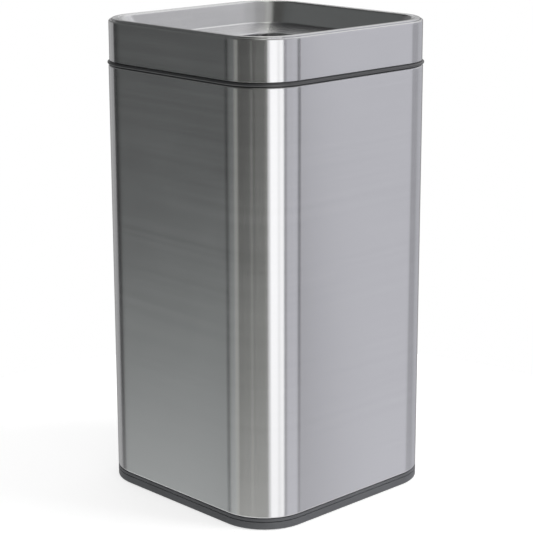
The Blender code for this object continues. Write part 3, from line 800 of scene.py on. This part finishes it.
bucket = {
    # inset and height below the rim's top, from the inner floor over the rim to the underside
    "section": [
        (41.8, -533.8),
        (29.8, -533.8, 10.2),
        (18.8, -38.0, 1.0),
        (17.3, -36.0, 1.0),
        (17.3, 0.0, 1.0),
        (9.3, 0.0, 1.2),
        (9.3, -8.0, 0.4),
        (11.1, -8.0, 0.4),
        (11.1, -1.8, 0.4),
        (15.5, -1.8, 0.4),
        (15.5, -36.0, 1.0),
        (17.0, -38.0, 1.0),
        (28.0, -536.0, 12.0),
        (41.8, -536.0),
    ],
    "pivot": 5.3,  # the bail's axis, above the rim
    "earX": (146.8, 149.8),
    "earReach": 4.5,  # radius of its round top
    "earFoot": 6.7,  # half its width at the root
    "earRoot": -0.5,
    "earSteps": 48,
    "earBore": 2.3,
    "boreLength": 8.0,
}


def bailHeight():
    low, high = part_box("bucket_bail")
    return (low.z + high.z) / 2 / millimetre


def earMesh(level):
    # the ear at the right end of the bail's axis
    near, far = bucket["earX"]
    points = [(bucket["earFoot"], bucket["earRoot"]), (bucket["earReach"], bucket["pivot"])]
    outline = [(y, z + level) for y, z in points] + [(-y, z + level) for y, z in reversed(points)]
    ear, top, bore = bmesh.new(), bmesh.new(), bmesh.new()
    addSlab(ear, near, outline, far - near)
    bmesh.ops.recalc_face_normals(ear, faces=ear.faces)
    axis = lyingAt((near + far) / 2, bailHeight())
    addRod(top, bucket["earReach"], far - near, axis, bucket["earSteps"])
    addRod(bore, bucket["earBore"], bucket["boreLength"], axis)
    return carve(carve(ear, top, "UNION"), bore)


def makeBucket():
    level = bailHeight() - bucket["pivot"]
    mesh = ringMesh(bucket["section"], level, closed=False)
    fillEnds(mesh)
    putInto(mesh, earMesh(level))
    left = earMesh(level)
    halfTurn = Matrix.Rotation(math.pi, 3, "Z")
    bmesh.ops.rotate(left, verts=left.verts, cent=(0, 0, 0), matrix=halfTurn)
    putInto(mesh, left)
    nodes = ["inner_bucket"]
    return finishPiece("innerBucket", mesh, blackPlastic, "bucket", nodes)


bail = {
    "wire": 2.0,
    "wireSteps": 20,
    "pinEnd": 150.4,
    "reach": 142.5,  # from the middle of the bin to the wire, on both axes
    "bend": 3.5,
    "bendSteps": 8,
    "corner": 46.5,
    "cornerSteps": 24,
}


def makeBail():
    # a wire from the right ear round the rear to the left one
    reach, bend = bail["reach"], bail["bend"]
    run = reach - bail["corner"]
    bends, corners = bail["bendSteps"], bail["cornerSteps"]
    mesh = bmesh.new()
    start = lyingAt(bail["pinEnd"], bailHeight())
    radius = bail["wire"] * millimetre
    bmesh.ops.create_circle(mesh, segments=bail["wireSteps"], radius=radius, matrix=start)
    last = mesh.verts[:] + mesh.edges[:]
    last = sweep(mesh, last, run=(reach + bend - bail["pinEnd"], 0, 0))
    last = sweep(mesh, last, turn=((reach + bend, bend, 0), -90), steps=bends)
    last = sweep(mesh, last, run=(0, run - bend, 0))
    last = sweep(mesh, last, turn=((run, run, 0), 90), steps=corners)
    last = sweep(mesh, last, run=(-2 * run, 0, 0))
    last = sweep(mesh, last, turn=((-run, run, 0), 90), steps=corners)
    last = sweep(mesh, last, run=(0, bend - run, 0))
    last = sweep(mesh, last, turn=((-reach - bend, bend, 0), -90), steps=bends)
    sweep(mesh, last, run=(reach + bend - bail["pinEnd"], 0, 0))
    fillEnds(mesh)
    return finishPiece("bucketBail", mesh, zinc, "bail", ["bucket_bail"])


grip = {
    "radius": 5.0,
    "bore": 2.3,
    "end": 1.2,  # how far the rounded end reaches back
    "shoulder": 0.35,  # depth of that rounding at its middle
    "grooves": 9,
    "pitch": 9.0,
    "groove": 0.5,
    "grooveMouth": 1.6,  # half its width at the surface
    "grooveFloor": 0.7,
}


def makeGrip():
    # a tube with finger grooves
    low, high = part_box("bail_grip")
    half = (high.x - low.x) / 2 / millimetre
    radius, end, shoulder = grip["radius"], grip["end"], grip["shoulder"]
    bottom, mouth, floor = radius - grip["groove"], grip["grooveMouth"], grip["grooveFloor"]
    profile = [
        (grip["bore"], -half),
        (radius - end, -half),
        (radius - shoulder, shoulder - half),
        (radius, end - half),
    ]
    for number in range(grip["grooves"]):
        middle = (number - (grip["grooves"] - 1) / 2) * grip["pitch"]
        profile += [(radius, middle - mouth), (bottom, middle - floor)]
        profile += [(bottom, middle + floor), (radius, middle + mouth)]
    profile += [
        (radius, half - end),
        (radius - shoulder, half - shoulder),
        (radius - end, half),
        (grip["bore"], half),
    ]
    mesh = turnedMesh(profile)
    lying = Matrix.Rotation(math.pi / 2, 3, "Y")
    bmesh.ops.rotate(mesh, verts=mesh.verts, cent=(0, 0, 0), matrix=lying)
    bmesh.ops.translate(mesh, verts=mesh.verts, vec=(low + high) / 2)
    return finishPiece("bailGrip", mesh, blackPlastic, "bail", ["bail_grip"])


makeBucket()
makeBail()
makeGrip()
print("bucket made")

# Lid

lidBand = {
    # inset and height above the band's lower edge
    "section": [(4.2, 0.0), (1.0, 0.0, 1.0), (1.0, 51.5, 2.2), (4.1, 51.5, 0.5), (4.1, 47.5)],
}


def makeLidBand():
    mesh = ringMesh(lidBand["section"], bottomOf("lid_band"), closed=False)
    addWall(mesh)
    return finishPiece("lidBand", mesh, steel, "lid", ["lid_band"], grain=True)


funnel = {
    # inset, height below the rim's top, radius of the plan's corners, then rounding and its steps
    "rows": [
        (4.5, -5.5, 59.5),
        (4.5, 0.0, 59.5, 1.5, 6),
        (13.2, 0.0, 50.8, 4.5, 10),
        (28.0, -27.8, 46.0, 4.0, 8),
        (72.0, -34.2, 27.0, 2.0, 6),
        (72.0, -40.2, 27.0),
    ],
    "studInset": 9.4,
    "stud": [(0.0, -12.2), (1.2, -12.2), (1.5, -11.9), (1.5, -0.55), (0.0, -0.55)],
    "studSteps": 24,
}


def quarterRow(mesh, inset, height, corner):
    # a quarter of a rounded square, from the middle of the front to the middle of the right
    half = binShape["half"] - inset
    before = set(mesh.edges)
    verts, _ = addWire(mesh, [(0, -half, height), (half, -half, height), (half, 0, height)])
    roundVert(mesh, verts[1], corner, binShape["cornerSteps"])
    return [edge for edge in mesh.edges if edge not in before]


def edgesOfRow(mesh, inset, height, corner):
    # the edges on a rounded square of this inset, height and corner radius
    half, corner = (binShape["half"] - inset) * millimetre, corner * millimetre
    level, found = height * millimetre, []
    for edge in mesh.edges:
        ends = [vert.co for vert in edge.verts]
        offsets = [beyondCorner(end, half, corner) - corner for end in ends]
        onLevel = all(abs(end.z - level) < tolerance["same"] * millimetre for end in ends)
        onRow = all(abs(offset) < tolerance["row"] * millimetre for offset in offsets)
        if onLevel and onRow:
            found.append(edge)
    return found


def makeFunnel():
    level, table = topOf("lid_funnel"), funnel["rows"]
    mesh = bmesh.new()
    rows = [quarterRow(mesh, inset, height + level, corner) for inset, height, corner, *_ in table]
    for first, second in zip(rows, rows[1:]):
        bmesh.ops.bridge_loops(mesh, edges=first + second)
    turnCopies(mesh)
    mergeAndTurnOut(mesh)
    for above, row, below in zip(table, table[1:], table[2:]):
        inset, height, corner, rounding, steps = row
        arriving = Vector((inset - above[0], height - above[1]))
        leaving = Vector((below[0] - inset, below[1] - height))
        offset = rounding * math.tan(arriving.angle(leaving) / 2) * millimetre
        bevel(mesh, edgesOfRow(mesh, inset, height + level, corner), "EDGES", offset, steps)
    bmesh.ops.recalc_face_normals(mesh, faces=mesh.faces)
    highest = max(mesh.faces, key=lambda face: face.calc_center_median().z)
    if highest.normal.z < 0:
        bmesh.ops.reverse_faces(mesh, faces=mesh.faces)
    addWall(mesh)
    stud = turnedMesh(raised(funnel["stud"], level), funnel["studSteps"])
    putInto(mesh, stud, cornerPlaces(funnel["studInset"]))
    return finishPiece("lidFunnel", mesh, steel, "lid", ["lid_funnel"], grain=True)


carrier = {
    # inset and height above the lid's lower edge
    "section": [
        (2.1, 2.1),
        (2.1, 47.0, 0.4),
        (5.7, 47.0),
        (5.7, 52.2, 0.4),
        (7.7, 52.2, 0.4),
        (7.7, 47.0),
        (12.6, 47.0, 0.4),
        (12.6, 44.8, 0.4),
        (4.3, 44.8),
        (4.3, 3.3, 0.5),
        (8.8, 3.3, 0.5),
        (8.8, -7.0, 0.4),
        (6.8, -7.0, 0.6),
        (6.8, 0.0),
        (4.5, 0.0, 0.2),
        (4.5, 1.1),
        (3.1, 1.1),
    ],
    "studHole": (1.8, 44.0, 54.0),
    "boss": [(1.8, 44.6), (3.6, 44.6), (3.6, 50.3), (3.3, 50.6), (1.8, 50.6)],
    "rib": [(3.2, 45.3), (12.3, 45.3), (12.3, 44.3), (4.6, 32.8), (3.2, 32.8)],
}


def makeCarrier():
    level = bottomOf("lid_band")
    mesh = ringMesh(carrier["section"], level)
    places = cornerPlaces(funnel["studInset"])
    mesh = drill(mesh, places, carrier["studHole"], level)
    putInto(mesh, turnedMesh(raised(carrier["boss"], level)), places)
    putInto(mesh, ribsMesh(carrier["rib"], collar["ribWidth"], collar["ribShares"], level))
    return finishPiece("lidCarrier", mesh, blackPlastic, "lid", ["lid_carrier"])


nut = {"flats": 5.5, "bore": 1.8, "chamfer": 0.35, "overrun": 1.0}


def makeNuts():
    # a hexagon whose corners are turned down, with a bore for the stud
    low, high = bottomOf("funnel_nut_1"), topOf("funnel_nut_1")
    inner, chamfer, overrun = nut["flats"] / 2, nut["chamfer"], nut["overrun"]
    outer = inner / math.cos(math.pi / 6)
    lower = [(0, low), (inner, low), (outer, low + chamfer)]
    upper = [(outer, high - chamfer), (inner, high), (0, high)]
    for number, place in enumerate(cornerPlaces(funnel["studInset"]), 1):
        mesh = rodsMesh([(0, 0)], outer, low, high, 6)
        mesh = carve(mesh, turnedMesh(lower + upper), "INTERSECT")
        mesh = carve(mesh, rodsMesh([(0, 0)], nut["bore"], low - overrun, high + overrun))
        bmesh.ops.translate(mesh, verts=mesh.verts, vec=Vector(place) * millimetre)
        node = f"funnel_nut_{number}"
        finishPiece(f"funnelNut{number}", mesh, zinc, "lid", [node])


makeCarrier()
makeLidBand()
makeFunnel()
makeNuts()
print("lid made")

# Studio

studio = {
    # the radius and height of a tier's two edges
    "tiers": {
        "deep": ((5000.0, -9000.0), (5000.0, -3400.0)),
        "lower": ((5000.0, -3400.0), (5000.0, 1100.0)),
        "sill": ((5000.0, 1100.0), (5000.0, 1900.0)),
        "middle": ((5000.0, 1900.0), (5000.0, 3500.0)),
        "high": ((5000.0, 3500.0), (5000.0, 12000.0)),
        "roof": ((5000.0, 12000.0), (10.0, 12000.0)),
    },
    # a lower card goes over to its foot, which stands for the floor, down to this height
    "footTop": -3300.0,
    "tints": {
        "neutral": (1.0, 1.0, 1.0),
        "greenish": (0.98, 1.02, 1.0),
        "warm": (1.01, 1.02, 0.95),
        "cool": (0.985, 0.985, 1.045),
    },
    # each card's span in degrees about Z from +X, its tint and how bright the steel shows it,
    # and for a lower card how bright its foot is, and the height at which that begins
    "deep": [
        (20, 140, "neutral", 0.95),
        (140, 260, "neutral", 1.00),
        (260, 380, "neutral", 0.95),
    ],
    "lower": [
        (20, 70, "neutral", 0.25, 0.60, -1500.0),
        (70, 88, "neutral", 0.50, 0.70, -1500.0),
        (88, 103, "neutral", 0.45, 0.80, -1500.0),
        (103, 117, "neutral", 0.04, 0.95, -1500.0),
        (117, 136, "greenish", 0.07, 1.30, -1000.0),
        (136, 144, "greenish", 0.00, 0.80, -1500.0),
        (144, 161, "greenish", 0.12, 1.40, -1200.0),
        (161, 170, "warm", 0.32, 1.40, -1600.0),
        (170, 177, "warm", 0.04, 1.90, -1800.0),
        (177, 196, "warm", 0.02, 2.20, -1900.0),
        (196, 199, "warm", 0.04, 2.20, -1900.0),
        (199, 203, "warm", 0.14, 2.20, -1900.0),
        (203, 209, "warm", 0.02, 2.20, -1900.0),
        (209, 229, "warm", 0.08, 2.00, -1900.0),
        (229, 235, "warm", 0.20, 1.50, -1900.0),
        (235, 240, "neutral", 0.90, 1.10, -1500.0),
        (240, 256, "neutral", 1.70, 1.30, -1500.0),
        (256, 262, "neutral", 1.42, 1.15, -1500.0),
        (262, 270, "neutral", 1.62, 1.25, -1500.0),
        (270, 277, "cool", 0.36, 0.80, -1500.0),
        (277, 305, "cool", 0.67, 1.14, -1500.0),
        (305, 312, "cool", 0.14, 0.95, -1500.0),
        (312, 326, "cool", 0.73, 1.18, -1500.0),
        (326, 350, "cool", 0.46, 0.95, -1500.0),
        (350, 380, "cool", 0.58, 0.80, -1500.0),
    ],
    "sill": [
        (20, 62, "neutral", 0.60),
        (62, 113, "neutral", 0.20),
        (113, 160, "greenish", 0.19),
        (160, 235, "warm", 0.09),
        (235, 270, "neutral", 1.50),
        (270, 292, "cool", 0.66),
        (292, 350, "cool", 1.20),
        (350, 380, "neutral", 0.90),
    ],
    "middle": [
        (20, 40, "neutral", 0.60),
        (40, 42, "neutral", 0.70),
        (42, 50, "neutral", 1.25),
        (50, 54, "neutral", 0.55),
        (54, 62, "neutral", 0.40),
        (62, 113, "neutral", 0.20),
        (113, 160, "greenish", 0.19),
        (160, 235, "warm", 0.09),
        (235, 270, "neutral", 1.20),
        (270, 350, "cool", 0.60),
        (350, 380, "neutral", 0.90),
    ],
    "high": [
        (20, 40, "neutral", 0.90),
        (40, 53, "warm", 1.20),
        (53, 62, "neutral", 0.45),
        (62, 105, "neutral", 0.05),
        (105, 160, "greenish", 0.14),
        (160, 200, "warm", 0.10),
        (200, 240, "warm", 0.42),
        (240, 280, "neutral", 0.42),
        (280, 335, "neutral", 0.60),
        (335, 380, "neutral", 1.25),
    ],
    "roof": [
        (20, 60, "warm", 1.00),
        (60, 200, "neutral", 0.12),
        (200, 240, "neutral", 0.90),
        (240, 380, "neutral", 0.50),
    ],
    "cardStep": 3.0,  # degrees of a card's segment
    "floorRadius": 580.0,
    "floorSteps": 128,
    "floorDrop": 0.05,  # under the feet
    "floorPaint": (0.60, 0.60, 0.60),
    "floorGlow": 0.63,
    "worldLight": 0.65,
}


def emptyTree(owner):
    owner.use_nodes = True
    owner.node_tree.nodes.clear()


def glowingMaterial(name, tint, strength, foot, footStart):
    material = bpy.data.materials.new(name)
    emptyTree(material)
    glow = addNode(material, "ShaderNodeEmission", {"Color": (*tint, 1), "Strength": strength})
    if foot is not None:
        split = addNode(material, "ShaderNodeSeparateXYZ")
        join(material, objectPlace(material), split.inputs["Vector"])
        heights = (studio["footTop"] * millimetre, footStart * millimetre)
        level = remap(material, split.outputs["Z"], heights, (foot, strength))
        join(material, level, glow.inputs["Strength"])
    out = addNode(material, "ShaderNodeOutputMaterial")
    join(material, glow.outputs["Emission"], out.inputs["Surface"])
    return material


def makeCard(name, tier, start, end, tint, strength, foot=None, footStart=0.0):
    # a curved card that only reflections see
    mesh = bmesh.new()
    verts, _ = addWire(mesh, [(out, 0, height) for out, height in studio["tiers"][tier]])
    first = Matrix.Rotation(math.radians(start), 3, "Z")
    bmesh.ops.rotate(mesh, verts=verts, cent=(0, 0, 0), matrix=first)
    bmesh.ops.spin(
        mesh,
        geom=mesh.verts[:] + mesh.edges[:],
        cent=(0, 0, 0),
        axis=(0, 0, 1),
        angle=math.radians(end - start),
        steps=max(2, int((end - start) / studio["cardStep"])),
    )
    card = newObject(name, mesh)
    glow = glowingMaterial(name, studio["tints"][tint], strength, foot, footStart)
    card.data.materials.append(glow)
    card.visible_camera = False
    card.visible_diffuse = False
    card.visible_shadow = False
    card.visible_transmission = False


def seenRays(owner):
    # 1 for camera, mirror and transmitted rays, which see the studio white, and 0 for its light
    rays = addNode(owner, "ShaderNodeLightPath")
    seen = rays.outputs["Is Camera Ray"]
    for kind in ("Is Glossy Ray", "Is Transmission Ray"):
        seen = combineValues(owner, "MAXIMUM", seen, rays.outputs[kind])
    return seen


def makeFloor():
    # a pale round floor that keeps the bin's shadow
    mesh = bmesh.new()
    radius = studio["floorRadius"] * millimetre
    bmesh.ops.create_circle(mesh, cap_ends=True, segments=studio["floorSteps"], radius=radius)
    floor = newObject("paleFloor", mesh)
    material = bpy.data.materials.new("paleFloor")
    emptyTree(material)
    paint = addNode(material, "ShaderNodeBsdfDiffuse", {"Color": (*studio["floorPaint"], 1)})
    glow = addNode(material, "ShaderNodeEmission")
    strength = combineValues(material, "MULTIPLY", seenRays(material), studio["floorGlow"])
    join(material, strength, glow.inputs["Strength"])
    both = addNode(material, "ShaderNodeAddShader")
    out = addNode(material, "ShaderNodeOutputMaterial")
    join(material, paint.outputs["BSDF"], both.inputs[0])
    join(material, glow.outputs["Emission"], both.inputs[1])
    join(material, both.outputs["Shader"], out.inputs["Surface"])
    floor.data.materials.append(material)
    floor.location.z = -studio["floorDrop"] * millimetre
    floor.visible_glossy = False  # the cards' feet stand for it in the steel


def makeWorld():
    world = bpy.data.worlds.new("whiteStudio")
    emptyTree(world)
    level = remap(world, seenRays(world), (0.0, 1.0), (studio["worldLight"], 1.0))
    sky = addNode(world, "ShaderNodeBackground", {"Color": (1, 1, 1, 1)})
    join(world, level, sky.inputs["Strength"])
    out = addNode(world, "ShaderNodeOutputWorld")
    join(world, sky.outputs["Background"], out.inputs["Surface"])
    bpy.context.scene.world = world


lamp = {"place": (1400.0, -1800.0, 2200.0), "aim": (0.0, 0.0, 300.0), "size": 1600.0, "power": 50.0}


def makeLamp():
    light = bpy.data.lights.new("softLamp", "AREA")
    light.shape = "SQUARE"
    light.size = lamp["size"] * millimetre
    light.energy = lamp["power"]
    holder = bpy.data.objects.new("softLamp", light)
    holder.location = Vector(lamp["place"]) * millimetre
    aim = (Vector(lamp["aim"]) - Vector(lamp["place"])) * millimetre
    holder.rotation_euler = aim.to_track_quat("-Z", "Y").to_euler()
    holder.visible_camera = False
    holder.visible_glossy = False
    bpy.context.scene.collection.objects.link(holder)


camera = {
    # turns are degrees, and the place is on a circle about the bin, at this height
    "azimuth": -43.7647,
    "pitch": 14.7589,
    "roll": -0.1691,
    "yaw": -0.0092,
    "distance": 2247.8,
    "height": 878.9,
    "lens": 119.85,
    "sensor": 36.0,
}


def makeCamera():
    data = bpy.data.cameras.new("camera")
    data.sensor_width = camera["sensor"]
    data.lens = camera["lens"]
    holder = bpy.data.objects.new("camera", data)
    around = math.radians(camera["azimuth"])
    out, height = camera["distance"] * millimetre, camera["height"] * millimetre
    holder.location = (math.sin(around) * out, -math.cos(around) * out, height)
    turn = Matrix.Rotation(around + math.radians(camera["yaw"]), 3, "Z")
    tilt = Matrix.Rotation(math.radians(90 - camera["pitch"]), 3, "X")
    lean = Matrix.Rotation(math.radians(camera["roll"]), 3, "Z")
    holder.rotation_euler = (turn @ tilt @ lean).to_euler()
    bpy.context.scene.collection.objects.link(holder)
    bpy.context.scene.camera = holder


for tier in studio["tiers"]:
    for number, card in enumerate(studio[tier], 1):
        makeCard(f"{tier}Card{number}", tier, *card)
makeFloor()
makeWorld()
makeLamp()
makeCamera()
bpy.context.scene.view_settings.view_transform = "Standard"
print("studio ready")
